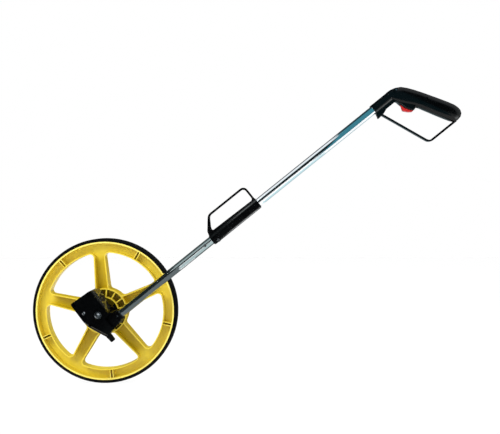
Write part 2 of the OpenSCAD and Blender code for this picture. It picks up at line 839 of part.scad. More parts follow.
module along_pole(from, to) {
    translate([from, 0, 0]) rotate([90, 0, 90]) linear_extrude(to - from) children();
}

loop_side = [[bracket_at, 6], [bracket_at + 4, 20], [bracket_at + 27, loop_h],
    [bracket_end - 1, loop_h], [bracket_end - 1, 6]];
loop_radii = [0, 5, 14, 11, 0];

module carry_loop() {
    slab(-loop_w / 2, loop_w / 2) difference() {
        polygon(rounded(loop_side, loop_radii));
        polygon(rounded([[bracket_at + 13, bracket_half + 2.5], [bracket_at + 16.5, 24],
            [bracket_at + 29, loop_h - loop_t], [bracket_end - 1 - loop_t, loop_h - loop_t],
            [bracket_end - 1 - loop_t, bracket_half]], [3, 6, 10, 7, 5]));
        square([2 * bracket_end, 2 * channel_r], center = true);
    }
}

module fold_bracket() {
    color("#141619") at_pole() difference() {
        union() {
            intersection() {
                along_pole(bracket_at, bracket_end) bracket_section();
                slab(-bracket_half, bracket_half) bracket_side();
            }
            carry_loop();
            rod(bracket_at - spigot_len, bracket_at + 1, spigot_r);
        }
        along_pole(bulkhead_end, bracket_end + 1) cradle();
        // clearance under the bulkhead for the folded tube
        along_pole(bracket_at - 1, bulkhead_end + 1)
            translate([-channel_r, -2 * bracket_half]) square([2 * channel_r, 2 * bracket_half + strike_y]);
        rod(bracket_at - spigot_len - 1, bulkhead_end + 1, cable_hole_r);
        disc(-bracket_half - 1, bracket_half + 1, fold_pin_d / 2, pin_at);
        rivet_holes(bracket_at - spigot_len / 2);
    }
}

module bracket_rivets() {
    color("#9a9da1") at_pole() rivets(bracket_at - spigot_len / 2);
}

module fold_pin() {
    color("#c7cacd") at_pole() {
        disc(-bracket_half, bracket_half, fold_pin_d / 2, pin_at);
        for (side = [-1, 1]) disc(side > 0 ? bracket_half : -bracket_half - 0.8,
            side > 0 ? bracket_half + 0.8 : -bracket_half, fold_pin_d / 2 + 1.2, pin_at);
    }
}

module fold_knuckle() {
    color("#1b1d20") at_pole() difference() {
        union() {
            intersection() {
                slab(-pole_r, pole_r) union() {
                    translate(pin_at) circle(r = eye_r);
                    translate([pin_at[0] - 1, -pole_r]) square([tube_start - pin_at[0] + 1, 2 * pole_r]);
                }
                along_pole(pin_at[0] - 10, tube_start) union() {
                    circle(r = pole_r);
                    translate([-pole_r, -2 * pole_r]) square([2 * pole_r, 2 * pole_r]);
                }
            }
            rod(tube_start - 1, tube_start + spigot_len, spigot_r);
        }
        rod(tube_start, tube_start + spigot_len + 1, spigot_r - 2.5);
        at_upper_cable() rod(-20, 1, cable_hole_r);
        disc(-pole_r - 1, pole_r + 1, fold_pin_d / 2 + run_fit, pin_at);
        rivet_holes(tube_start + spigot_len - 8);
    }
}

module knuckle_rivets() {
    color("#9a9da1") at_pole() intersection() {
        rivets(tube_start + spigot_len - 8);
        rod(tube_start, tube_start + 2 * spigot_len, pole_r);
    }
}

module upper_pole() {
    color("silver") at_pole() difference() {
        tube(tube_start, pole_end);
        rivet_holes(tube_start + spigot_len - 8);
    }
}

// ---------------------------------------------------------------- grip

// A convex side outline with softly rounded long edges.
module soft(side, half, edge) {
    hull() for (a = [0:30:90])
        slab(-half + edge * (1 - sin(a)), half - edge * (1 - sin(a)))
            polygon(grow(side, -edge * (1 - cos(a))));
}

// Points of the grip, from its own lower end, sized with its length.
function grip_points(list) = [for (p = list) [grip_at + p[0] * grip_scale, p[1] * grip_scale]];

// Sections of the grip: back, belly and half thickness.
grip_back = grip_points([[43.9, 9.9], [46, 11.4], [56, 10.8], [67, 7.6], [77, 2], [86, -8], [95, -20.5],
    [104, -34.3], [114, -50.5], [126, -70.4], [136, -87.5], [142, -99], [144.8, -108], [145.4, -116],
    [143, -122.6], [138.3, -127]]);
grip_belly = grip_points([[43.9, -8], [46, -12], [49.5, -19], [54.5, -27.5], [61, -35.5], [67.5, -43], [73.3, -49.5],
    [79.5, -58.5], [87.5, -73.5], [96.5, -90.5], [105, -106], [110, -114.8], [113.6, -120.8], [117.2, -125.4],
    [121.5, -128.4], [127, -129.5]]);
grip_depth = [10.4, 11.6, 12.6, 13.6, 14.3, 14.5, 14.5, 14.5, 14.5, 14.5, 14.4, 13.9, 12.9, 11.3, 8.6, 4.6];
grip_facets = 32;

function grip_section(i) =
    let (middle = (grip_back[i] + grip_belly[i]) / 2)
    let (reach = (grip_back[i] - grip_belly[i]) / 2)
    let (half = grip_depth[i] * grip_w / 29)
    [for (k = [0:grip_facets - 1])
        let (a = 360 * (k + 0.5) / grip_facets)
        let (along = sign(cos(a)) * pow(abs(cos(a)), 2 / grip_square))
        let (out = sign(sin(a)) * pow(abs(sin(a)), 2 / grip_square))
        [middle[0] + along * reach[0], half * out, middle[1] + along * reach[1]]];

module grip_form() {
    n = grip_facets;
    last = len(grip_back) - 1;
    polyhedron(
        points = [for (i = [0:last]) each grip_section(i)],
        faces = concat([[for (k = [0:n - 1]) n - 1 - k]], [[for (k = [0:n - 1]) last * n + k]],
            [for (i = [0:last - 1]) for (k = [0:n - 1]) each [
                [i * n + k, (i + 1) * n + (k + 1) % n, (i + 1) * n + k],
                [i * n + k, i * n + (k + 1) % n, (i + 1) * n + (k + 1) % n]]]));
}

nose_side = grip_points([[50.4, -10], [50.6, -22], [54.4, -38.5], [62.3, -51.3], [67, -54.6], [76, -51.8], [86, -44],
    [78, -20], [62, -8]]);

guard_side = grip_points([[3, -10], [50.2, -130], [138, -130]]);

module guard_strap() {
    outer = concat(guard_side, grip_points([[138, 30], [3, 30]]));
    slab(-guard_w / 2, guard_w / 2) intersection() {
        difference() {
            polygon(rounded(outer, [0, 14, 0, 0, 0]));
            polygon(rounded(grow(outer, -guard_t), [0, 14 - guard_t, 0, 0, 0]));
        }
        polygon(grip_points([[-10, -12.5], [-10, -150], [124, -150], [124, -110], [60, -110], [40, -12.5]]));
    }
    // lug under the socket
    slab(-guard_w / 2, guard_w / 2)
        polygon(rounded(grip_points([[0, -11], [-3, -21.6], [11.5, -20.2], [26, -15], [26, -11]]), [0, 1, 3, 2, 0]));
}

module grip_body() {
    rod(grip_at, grip_at + 50 * grip_scale, grip_socket_r);
    grip_form();
    soft(nose_side, nose_w / 2, grip_edge);
    slab(-7, 7) polygon(rounded(grip_points([[1, 0], [1, -11], [24, -15.7], [50, -15.7], [54, 0]]), [0, 2, 3, 0, 0]));
}

grip_screws_at = grip_points([[58, 3], [101, -52], [128, -108]]);

module trigger_side() {
    polygon(rounded(grip_points([[60.8, 6.4], [60.8, -12], [54, -26], [48.4, -41], [57, -50.6], [63.2, -55],
        [67, -53.4], [69.5, -42], [73, -28], [70, -12], [67.2, -2], [67.2, 6.4]]),
        [3.1, 8, 8, 3, 6, 2, 2, 6, 8, 6, 2, 3.1]));
}

// Room for the trigger over its whole swing.
module trigger_slot() {
    slab(-slot_half, slot_half) polygon(grip_points([[60.2, 6.9], [60.2, -11], [51, -26], [30, -38], [30, -68],
        [74, -68], [79.8, -52.5], [81.5, -41], [80.8, -26], [75.6, -10.5], [70, 0], [68, 6]]));
}

module grip_cut() {
    rod(grip_at - 1, pole_end, pole_r);
    at_upper_cable() rod(pole_end - tube_start - 1, pole_end - tube_start + 20, cable_hole_r + gap);
    guard_strap();
    trigger_slot();
    disc(-grip_half, grip_half - 3, trigger_pin_d / 2, trigger_pivot);
    for (p = grip_screws_at) {
        disc(-grip_half + 5, grip_half, screw_d / 2, p);
        disc(grip_half - 3.4, grip_half + 1, screw_head_r + 0.2, p);
    }
}

module grip_far_half() {
    color("#0f1013") at_pole() difference() {
        intersection() {
            grip_body();
            translate([grip_at - 10, 0, -200]) cube([300, 40, 300]);
        }
        grip_cut();
    }
}

module grip_near_half() {
    color("#0f1013") at_pole() difference() {
        intersection() {
            grip_body();
            translate([grip_at - 10, -40, -200]) cube([300, 40, 300]);
        }
        grip_cut();
    }
}

module grip_screws() {
    color("#8d9094") at_pole() for (p = grip_screws_at) {
        disc(-grip_half + 5, grip_half - 3.4, screw_d / 2, p);
        disc(grip_half - 3.4, grip_half - 2.1, screw_head_r, p);
    }
}

module hand_guard() {
    color("#101215") at_pole() guard_strap();
}

module trigger() {
    color("#c21f26") at_pole() difference() {
        slab(-trigger_w / 2, trigger_w / 2) trigger_side();
        disc(-trigger_w, trigger_w, trigger_bore_r, trigger_pivot);
        disc(-trigger_w, spring_w - trigger_w / 2, trigger_pin_d / 2 + 1.9, trigger_pivot);
        // seat and mouth for the cable nipple
        disc(-trigger_w, trigger_w, nipple_r + gap, cable_end);
        slab(-cable_hole_r - gap, cable_hole_r + gap)
            translate([cable_end[0] - 30, cable_end[1] - nipple_r]) square([30, 2 * nipple_r]);
    }
}

module trigger_pin() {
    color("#b9bcc0") at_pole() disc(-slot_half - 4, slot_half + 4, trigger_pin_d / 2, trigger_pivot);
}

module trigger_spring() {
    color("#9a9da1") at_pole() translate([trigger_pivot[0], trigger_w / 2, trigger_pivot[1]])
        coil(trigger_pin_d / 2 + 0.7, 0.8, 2, spring_w - gap);
}

tyre();
wheel();
hub_bushes();
drive_gear();
axle();
axle_nut();
axle_washer();
axle_circlip();
housing_back();
housing_cover();
housing_screws();
counter_lens();
counter_frame();
counter_screw();
drum_shaft();
pinion_shaft();
counter_gear();
number_drum(1);  // number_drum_1
number_drum(2);  // number_drum_2
number_drum(3);  // number_drum_3
number_drum(4);  // number_drum_4
number_drum(5);  // number_drum_5
transfer_pinion(1);  // transfer_pinion_1
transfer_pinion(2);  // transfer_pinion_2
transfer_pinion(3);  // transfer_pinion_3
transfer_pinion(4);  // transfer_pinion_4
reset_lever();
reset_pin();
reset_spring();
brake_shoe();
brake_spring();
brake_cable_lower();
lower_pole();
pole_screw();
fold_bracket();
bracket_rivets();
fold_pin();
fold_knuckle();
knuckle_rivets();
upper_pole();
brake_cable_upper();
grip_near_half();
grip_far_half();
grip_screws();
hand_guard();
trigger();
trigger_pin();
trigger_spring();
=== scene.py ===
import json
import math
import bmesh
import bpy
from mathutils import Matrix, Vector

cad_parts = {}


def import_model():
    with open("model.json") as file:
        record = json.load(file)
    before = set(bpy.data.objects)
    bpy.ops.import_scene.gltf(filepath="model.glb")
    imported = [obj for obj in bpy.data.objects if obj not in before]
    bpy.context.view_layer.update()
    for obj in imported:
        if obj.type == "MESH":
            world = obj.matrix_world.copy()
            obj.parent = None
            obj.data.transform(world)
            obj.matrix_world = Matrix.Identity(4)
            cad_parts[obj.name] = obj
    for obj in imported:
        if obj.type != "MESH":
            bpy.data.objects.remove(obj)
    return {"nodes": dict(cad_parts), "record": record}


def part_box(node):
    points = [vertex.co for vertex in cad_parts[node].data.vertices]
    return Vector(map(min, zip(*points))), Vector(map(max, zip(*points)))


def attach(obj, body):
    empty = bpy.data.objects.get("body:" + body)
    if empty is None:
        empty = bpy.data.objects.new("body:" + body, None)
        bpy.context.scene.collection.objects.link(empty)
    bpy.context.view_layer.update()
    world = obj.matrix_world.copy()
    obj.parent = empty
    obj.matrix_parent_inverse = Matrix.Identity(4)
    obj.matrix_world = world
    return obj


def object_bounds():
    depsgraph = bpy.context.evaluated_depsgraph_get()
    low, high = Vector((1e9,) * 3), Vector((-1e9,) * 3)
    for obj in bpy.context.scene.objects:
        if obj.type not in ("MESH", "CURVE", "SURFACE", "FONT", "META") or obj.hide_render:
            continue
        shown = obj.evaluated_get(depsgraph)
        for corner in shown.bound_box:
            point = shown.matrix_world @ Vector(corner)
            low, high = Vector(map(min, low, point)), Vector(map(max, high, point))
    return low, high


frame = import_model()
cad_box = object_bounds()
nodes = frame["nodes"]

MM = 0.001
# Edges past this angle stay edges and are rounded; flatter ones are shaded smooth.
CREASE = math.radians(35)
# The pole's line: its slope, and how far it lies in front of the wheel's middle.
POLE_ANGLE = math.radians(38.85)
POLE_DEPTH = 0.046
ALONG = Vector((math.cos(POLE_ANGLE), 0, math.sin(POLE_ANGLE)))
UP = Vector((-math.sin(POLE_ANGLE), 0, math.cos(POLE_ANGLE)))
AXLE = Vector((0, 0, sum(p[2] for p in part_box("tyre")) / 2))


# ---------------------------------------------------------------- camera, lamps, world
CAMERA_PLACE = (0.3186, -1.300, 0.3652)
CAMERA_LENS = 42.26
CAMERA_SENSOR = 36

# name, place, what it points at, size, power
AREA_LIGHTS = (
    ("key", (-0.9, -1.5, 1.7), (0.2, 0, 0.3), (1.1, 1.1), 38),
    ("fill", (1.8, -1.5, 0.9), (0.3, 0, 0.3), (1.4, 1.4), 9),
    ("top", (0.3, 0.6, 2.2), (0.3, 0, 0.3), (1.6, 1.0), 16),
)

WORLD_LEVEL = 0.6
# What shines sees, from the camera's side (0) to the far side (1).
ROOM = (
    (0.00, (0.004, 0.010, 0.012)), (0.12, (0.005, 0.014, 0.016)), (0.18, (0.88, 0.96, 1.0)),
    (0.55, (0.98, 0.99, 1.0)), (0.63, (0.16, 0.18, 0.19)), (1.00, (0.08, 0.09, 0.10)),
)


def link_object(obj):
    bpy.context.scene.collection.objects.link(obj)
    return obj


def add_node(net, kind, **props):
    node = net.nodes.new(kind)
    for key, value in props.items():
        setattr(node, key, value)
    return node


def fill_ramp(ramp, stops):
    """The stops are places from 0 to 1, each with a linear colour."""
    while len(ramp.elements) < len(stops):
        ramp.elements.new(0.5)
    for element, (at, colour) in zip(ramp.elements, stops):
        element.position = at
        element.color = colour


def camera():
    data = bpy.data.cameras.new("camera")
    data.sensor_width = CAMERA_SENSOR
    data.lens = CAMERA_LENS
    data.clip_start = 0.05
    obj = link_object(bpy.data.objects.new("camera", data))
    obj.location = CAMERA_PLACE
    obj.rotation_euler = (math.radians(90), 0, 0)
    bpy.context.scene.camera = obj


def area_light(name, place, target, size, power):
    """A lamp for matt surfaces: what shines doesn't show it."""
    data = bpy.data.lights.new(name, "AREA")
    data.shape = "RECTANGLE"
    data.size, data.size_y = size
    data.energy = power
    obj = link_object(bpy.data.objects.new(name, data))
    obj.location = place
    obj.rotation_euler = (Vector(target) - Vector(place)).to_track_quat("-Z", "Y").to_euler()
    obj.visible_glossy = False


def world():
    """White to the eye, a plain level on matt surfaces, and the tones of ROOM in what shines."""
    made = bpy.data.worlds.new("world")
    bpy.context.scene.world = made
    made.use_nodes = True
    net = made.node_tree
    net.nodes.clear()
    link = net.links.new

    def add(kind, **props):
        return add_node(net, kind, **props)

    def background(strength):
        node = add("ShaderNodeBackground")
        node.inputs["Color"].default_value = (1, 1, 1, 1)
        node.inputs["Strength"].default_value = strength
        return node

    out = add("ShaderNodeOutputWorld")
    white, level, mirrored = background(1.0), background(WORLD_LEVEL), background(1.0)
    # the ray's Y, from -1..1 to 0..1, picks the room's tone
    coord = add("ShaderNodeTexCoord")
    parts = add("ShaderNodeSeparateXYZ")
    half = add("ShaderNodeMath", operation="MULTIPLY_ADD")
    half.inputs[1].default_value = 0.5
    half.inputs[2].default_value = 0.5
    ramp = add("ShaderNodeValToRGB")
    fill_ramp(ramp.color_ramp, [(at, tone + (1,)) for at, tone in ROOM])
    link(coord.outputs["Generated"], parts.inputs[0])
    link(parts.outputs["Y"], half.inputs[0])
    link(half.outputs[0], ramp.inputs["Fac"])
    link(ramp.outputs["Color"], mirrored.inputs["Color"])
    # the kind of ray picks what it sees
    path = add("ShaderNodeLightPath")
    glossy, seen = add("ShaderNodeMixShader"), add("ShaderNodeMixShader")
    either = add("ShaderNodeMath", operation="MAXIMUM")
    link(path.outputs["Is Glossy Ray"], glossy.inputs[0])
    link(level.outputs[0], glossy.inputs[1])
    link(mirrored.outputs[0], glossy.inputs[2])
    link(path.outputs["Is Camera Ray"], either.inputs[0])
    link(path.outputs["Is Transmission Ray"], either.inputs[1])
    link(either.outputs[0], seen.inputs[0])
    link(glossy.outputs[0], seen.inputs[1])
    link(white.outputs[0], seen.inputs[2])
    link(seen.outputs[0], out.inputs[0])


# ---------------------------------------------------------------- studio cards, for mirrors only
DARK, EDGE = (0.008, 0.014, 0.014), (0.10, 0.12, 0.12)
PALE_LAMP = (0.95, 1.0, 1.0)
# How far a card stands from the pole's line. Near the wheel the floor leaves little room below it.
FAR, BY_BRACKET, LOW, LOWEST = 0.45, 0.30, 0.25, 0.14

# name, tone, strength, start and end along the pole from the axle, the two angles round it (0 faces
# the camera, 90 is up), distance, and how much further along it lies at the second angle
STRIPS = (
    # over the wheel: dark above and grey below
    ("card_dark_1", DARK, 1, -0.5, 0.11, 6, 62, FAR, 0),
    ("card_dark_2", DARK, 1, -0.5, 0.12, 60, 112, FAR, 0),
    ("card_dark_3", DARK, 1, -0.5, 0.15, 108, 172, FAR, 0),
    ("card_grey_1", (0.13, 0.155, 0.16), 1, -0.5, 0.18, -104, -12, LOWEST, 0),
    ("card_grey_2", EDGE, 1, -0.5, 0.22, -170, -102, LOWEST, 0),
    # as far as the bracket: pale between grey edges
    ("card_pale_1", (0.30, 0.37, 0.37), 1, 0.11, 0.34, 22, 74, FAR, 0.01),
    ("card_edge_1", (0.06, 0.08, 0.08), 1, 0.12, 0.34, 72, 172, FAR, 0),
    ("card_pale_2", (0.46, 0.57, 0.57), 1, 0.18, 0.31, -92, -24, LOWEST, 0),
    ("card_edge_2", EDGE, 1, 0.22, 0.31, -170, -92, LOWEST, 0),
    # past the bracket: pale below
    ("card_edge_3", (0.42, 0.56, 0.60), 1, 0.43, 0.84, -172, -112, LOW, 0),
    ("card_cyan", (0.64, 0.86, 0.90), 1, 0.42, 0.62, -112, -62, LOW, 0),
    # bright bands on the bracket and under the grip
    ("lamp_bracket_up", (0.92, 1.0, 1.0), 7, 0.35, 0.41, 40, 70, BY_BRACKET, 0),
    ("lamp_bracket_down", PALE_LAMP, 22, 0.31, 0.41, -84, -56, BY_BRACKET, 0),
    ("lamp_grip", PALE_LAMP, 5, 0.84, 1.02, -84, -60, FAR, 0),
    # teal in front of the tube's upper end, dark above it
    ("card_teal", (0.050, 0.225, 0.29), 1, 0.60, 0.84, -46, 74, FAR, 0.125),
    ("card_dark_4", (0.02, 0.05, 0.06), 1, 0.70, 1.05, 72, 172, FAR, 0),
)

# The ground under the tyre: the dark card lies over it, the studio floor just below.
GROUND = cad_box[0][2]
CARD_HEIGHT = GROUND + 0.002
FLOOR_PLACE = (0.3, 0, GROUND - 0.0005)
# name, tone, strength, corners
CARDS = (
    # dark on the floor, for the black faces over it
    ("card_floor", DARK, 1, (
        (-2.4, -3.4, CARD_HEIGHT), (0.15, -3.4, CARD_HEIGHT),
        (0.15, -0.14, CARD_HEIGHT), (-2.4, -0.14, CARD_HEIGHT))),
    # grey beside the hub
    ("card_hub", (0.10, 0.12, 0.14), 1, (
        (0.26, -0.9, 0.0), (0.26, -0.15, 0.0), (0.26, -0.15, 0.26), (0.26, -0.9, 0.26))),
    # a small window, for the glints
    ("lamp_glint", (1, 1, 1), 9, (
        (-1.0, -1.1, 1.15), (-0.7, -1.3, 1.15), (-0.7, -1.3, 1.45), (-1.0, -1.1, 1.45))),
)


def card(name, tone, strength, corners):
    """A card that only mirrors see."""
    mesh = bpy.data.meshes.new(name)
    mesh.from_pydata([tuple(c) for c in corners], [], [tuple(range(len(corners)))])
    paper = Surface(name + "_paper", Roughness=1.0, Specular_IOR_Level=0.0)
    paper.shader.inputs["Base Color"].default_value = (0, 0, 0, 1)
    paper.shader.inputs["Emission Color"].default_value = tone + (1,)
    paper.shader.inputs["Emission Strength"].default_value = strength
    # sampled as a lamp, a card would only make the matt surfaces grainy
    paper.material.cycles.emission_sampling = "NONE"
    mesh.materials.append(paper.material)
    obj = link_object(bpy.data.objects.new(name, mesh))
    obj.visible_camera = obj.visible_diffuse = obj.visible_transmission = obj.visible_shadow = False


def strip(name, tone, strength, start, end, low, high, distance, slant):
    """A flat card beside the pole, with its corners on a circle round the pole's line."""
    corners = []
    for s, angles in ((start, (low, high)), (end, (high, low))):
        for angle in angles:
            turn = math.radians(angle)
            lean = slant * (angle - low) / (high - low)
            depth, up = distance * math.cos(turn), distance * math.sin(turn)
            forward = Vector((0, -POLE_DEPTH - depth, 0))
            corners.append(AXLE + ALONG * (s + lean) + UP * up + forward)
    card(name, tone, strength, corners)


# ---------------------------------------------------------------- node materials
def linear(colour):
    """A written colour, 0 to 1, as the linear colour that a socket takes."""
    return tuple(c / 12.92 if c <= 0.04045 else ((c + 0.055) / 1.055) ** 2.4 for c in colour) + (1,)


class Surface:
    """A node material, built up from a principled shader."""

    def __init__(self, name, **sockets):
        self.material = bpy.data.materials.new(name)
        self.material.use_nodes = True
        self.net = self.material.node_tree
        self.shader = self.net.nodes["Principled BSDF"]
        for key, value in sockets.items():
            self.shader.inputs[key.replace("_", " ")].default_value = value
        self.coord = self.add("ShaderNodeTexCoord").outputs["Object"]

    def add(self, kind, **props):
        return add_node(self.net, kind, **props)

    def link(self, a, b):
        self.net.links.new(a, b)

    def stretched(self, scale, turn):
        """Object coordinates turned about Y, then scaled on each axis."""
        node = self.add("ShaderNodeMapping")
        node.inputs["Rotation"].default_value = (0, turn, 0)
        node.inputs["Scale"].default_value = scale
        self.link(self.coord, node.inputs["Vector"])
        return node.outputs["Vector"]

    def noise(self, scale, detail=3, rough=0.5, vector=None):
        node = self.add("ShaderNodeTexNoise")
        node.inputs["Scale"].default_value = scale
        node.inputs["Detail"].default_value = detail
        node.inputs["Roughness"].default_value = rough
        self.link(vector or self.coord, node.inputs["Vector"])
        return node.outputs["Fac"]

    def ramp(self, fac, *stops):
        """Written colours along a value from 0 to 1."""
        node = self.add("ShaderNodeValToRGB")
        fill_ramp(node.color_ramp, [(at, linear(colour)) for at, colour in stops])
        self.link(fac, node.inputs["Fac"])
        return node.outputs["Color"]

    def span(self, value, low, high, to_low, to_high):
        """The value's stretch from low to high, laid over the stretch from to_low to to_high."""
        node = self.add("ShaderNodeMapRange")
        keys = ("From Min", "From Max", "To Min", "To Max")
        for key, number in zip(keys, (low, high, to_low, to_high)):
            node.inputs[key].default_value = number
        self.link(value, node.inputs["Value"])
        return node.outputs["Result"]

    def times(self, a, b):
        node = self.add("ShaderNodeMath", operation="MULTIPLY")
        self.link(a, node.inputs[0])
        self.link(b, node.inputs[1])
        return node.outputs[0]

    def reach(self):
        """Distance from the axle's line."""
        away = self.add("ShaderNodeVectorMath", operation="SUBTRACT")
        away.inputs[1].default_value = AXLE
        flat = self.add("ShaderNodeVectorMath", operation="MULTIPLY")
        flat.inputs[1].default_value = (1, 0, 1)
        size = self.add("ShaderNodeVectorMath", operation="LENGTH")
        self.link(self.coord, away.inputs[0])
        self.link(away.outputs[0], flat.inputs[0])
        self.link(flat.outputs[0], size.inputs[0])
        return size.outputs["Value"]

    def depth(self):
        """Place along the axle: negative toward the camera's side."""
        parts = self.add("ShaderNodeSeparateXYZ")
        self.link(self.coord, parts.inputs[0])
        return parts.outputs["Y"]

    def mixed(self, fac, a, b):
        node = self.add("ShaderNodeMix", data_type="RGBA")
        for value, key in ((fac, 0), (a, 6), (b, 7)):
            if hasattr(value, "is_output"):
                self.link(value, node.inputs[key])
            else:
                node.inputs[key].default_value = value
        return node.outputs[2]

    def colour(self, value):
        self.link(value, self.shader.inputs["Base Color"])

    def roughness(self, value):
        self.link(value, self.shader.inputs["Roughness"])

    def bump(self, height, distance, strength):
        node = self.add("ShaderNodeBump")
        node.inputs["Distance"].default_value = distance
        node.inputs["Strength"].default_value = strength
        self.link(height, node.inputs["Height"])
        self.link(node.outputs["Normal"], self.shader.inputs["Normal"])


# Most of a noise lies between these.
NOISE_LOW, NOISE_HIGH = 0.3, 0.7


def mottled(name, tone, tones, gloss, roughness, grain=None, gloss_top=NOISE_HIGH, **sockets):
    """A material whose tone and roughness vary with noise, with or without a fine grain.

    tone and gloss are noises: scale, detail, roughness. grain is scale, height in metres, strength.
    """
    s = Surface(name, **sockets)
    dark, light = tones
    s.colour(s.ramp(s.noise(*tone), (NOISE_LOW, dark), (NOISE_HIGH, light)))
    s.roughness(s.span(s.noise(*gloss), NOISE_LOW, gloss_top, *roughness))
    if grain:
        scale, height, strength = grain
        s.bump(s.noise(scale, 2), height, strength)
    return s.material


def steel(name, dark, light, rough):
    return mottled(name, (220, 4), (dark, light), (600, 3), (rough - 0.06, rough + 0.08),
                   grain=(1500, 0.00003, 0.3), Metallic=1.0)


def ink(name, dark, light):
    return mottled(name, (700, 4), (dark, light), (900, 2), (0.4, 0.6), IOR=1.45)


# Where the wheel's tones change, in metres from the axle's line: spokes to rim, the ribs' painted
# highlight to a paler one further out, and the ends of the painted shade in the hub's pockets
# and in the well round the gear.
SPOKE_TO_RIM = (0.110, 0.124)
INNER_TO_OUTER_RIBS = (0.134, 0.144)
POCKETS_END = (0.0485, 0.0470)
WELL_END = (0.0318, 0.0300)
# The same along the axle, negative toward the camera: the ribs' near faces, which get the painted
# highlight, and where the painted shade in the hub sets in and stops.
RIB_FACES = (-0.0104, -0.0112)
SHADE_STARTS = (-0.0176, -0.0080)
SHADE_STOPS = (0.0004, 0.0016)


def yellow_plastic():
    s = Surface("yellow_plastic", IOR=1.5, Specular_IOR_Level=0.4)
    reach, depth = s.reach(), s.depth()
    mottle = s.noise(14, 4, 0.6)
    spoke = s.ramp(mottle, (0.25, (0.775, 0.676, 0.05)), (0.75, (0.845, 0.738, 0.085)))
    rim = s.ramp(mottle, (0.25, (0.865, 0.776, 0.20)), (0.75, (0.925, 0.83, 0.26)))
    shade = s.mixed(s.span(reach, *SPOKE_TO_RIM, 0, 1), spoke, rim)
    # painted highlight: the near faces of ribs, rim and spokes are paler than the faces deeper in,
    # the outer ones palest
    inner_highlight, outer_highlight = linear((0.90, 0.80, 0.24)), linear((0.96, 0.89, 0.42))
    face_highlight = s.mixed(s.span(reach, *INNER_TO_OUTER_RIBS, 0, 1), inner_highlight, outer_highlight)
    face = s.mixed(s.span(depth, *RIB_FACES, 0, 1), shade, face_highlight)
    grime = s.span(s.noise(55, 6, 0.7), 0.50, 0.78, 0, 0.34)
    worn = s.mixed(grime, face, linear((0.62, 0.53, 0.11)))
    # painted shade: on the camera's side of the hub, the pockets turn dark brown and the well round
    # the gear near black
    deep_shade = s.times(s.span(depth, *SHADE_STARTS, 0, 1), s.span(depth, *SHADE_STOPS, 1, 0))
    pocket_shade = s.times(deep_shade, s.span(reach, *POCKETS_END, 0, 0.72))
    well = s.times(deep_shade, s.span(reach, *WELL_END, 0, 0.93))
    shaded_pockets = s.mixed(pocket_shade, worn, linear((0.26, 0.19, 0.05)))
    s.colour(s.mixed(well, shaded_pockets, linear((0.075, 0.065, 0.04))))
    s.roughness(s.span(s.noise(120, 3), 0.3, 0.7, 0.30, 0.44))
    s.bump(s.noise(900, 2), 0.00005, 0.4)
    return s.material


def rubber():
    """Black, with pale dust that is also the roughest."""
    s = Surface("tyre_rubber", IOR=1.45, Specular_IOR_Level=0.14)
    dust = s.noise(160, 6, 0.65)
    s.colour(s.ramp(dust, (0.35, (0.022, 0.024, 0.027)), (0.62, (0.045, 0.047, 0.050)),
                    (0.8, (0.11, 0.11, 0.105))))
    s.roughness(s.span(dust, 0.3, 0.8, 0.55, 0.80))
    s.bump(s.noise(900, 3), 0.0001, 0.7)
    return s.material


def chrome():
    """Drawn tube: the grain of its roughness runs along the pole."""
    s = Surface("tube_chrome", Metallic=1.0)
    grain = s.noise(1, 3, 0.6, s.stretched((6, 320, 320), POLE_ANGLE))
    s.colour(s.ramp(s.noise(30, 4), (0.3, (0.93, 0.945, 0.955)), (0.7, (0.97, 0.975, 0.98))))
    s.roughness(s.span(grain, 0.3, 0.7, 0.07, 0.11))
    return s.material


# The share of a camera ray that goes through the floor, and the glow added to it.
FLOOR_CLEAR, FLOOR_GLOW = 0.90, 0.04


def stage_white():
    """A white floor that keeps the shadow, and shows a grip that is folded below it."""
    s = Surface("stage_white", Roughness=0.8, Specular_IOR_Level=0.2)
    s.colour(s.ramp(s.noise(3, 2), (0.3, (0.985, 0.985, 0.985)), (0.7, (0.99, 0.99, 0.99))))
    glow = s.add("ShaderNodeEmission")
    clear = s.add("ShaderNodeBsdfTransparent")
    both = s.add("ShaderNodeAddShader")
    path = s.add("ShaderNodeLightPath")
    mix = s.add("ShaderNodeMixShader")
    share = s.add("ShaderNodeMath", operation="MULTIPLY")
    share.inputs[1].default_value = FLOOR_CLEAR
    glow.inputs["Strength"].default_value = FLOOR_GLOW
    s.link(path.outputs["Is Camera Ray"], share.inputs[0])
    s.link(share.outputs[0], mix.inputs[0])
    s.link(s.shader.outputs[0], mix.inputs[1])
    s.link(glow.outputs[0], both.inputs[0])
    s.link(clear.outputs[0], both.inputs[1])
    s.link(both.outputs[0], mix.inputs[2])
    s.link(mix.outputs[0], s.net.nodes["Material Output"].inputs["Surface"])
    return s.material


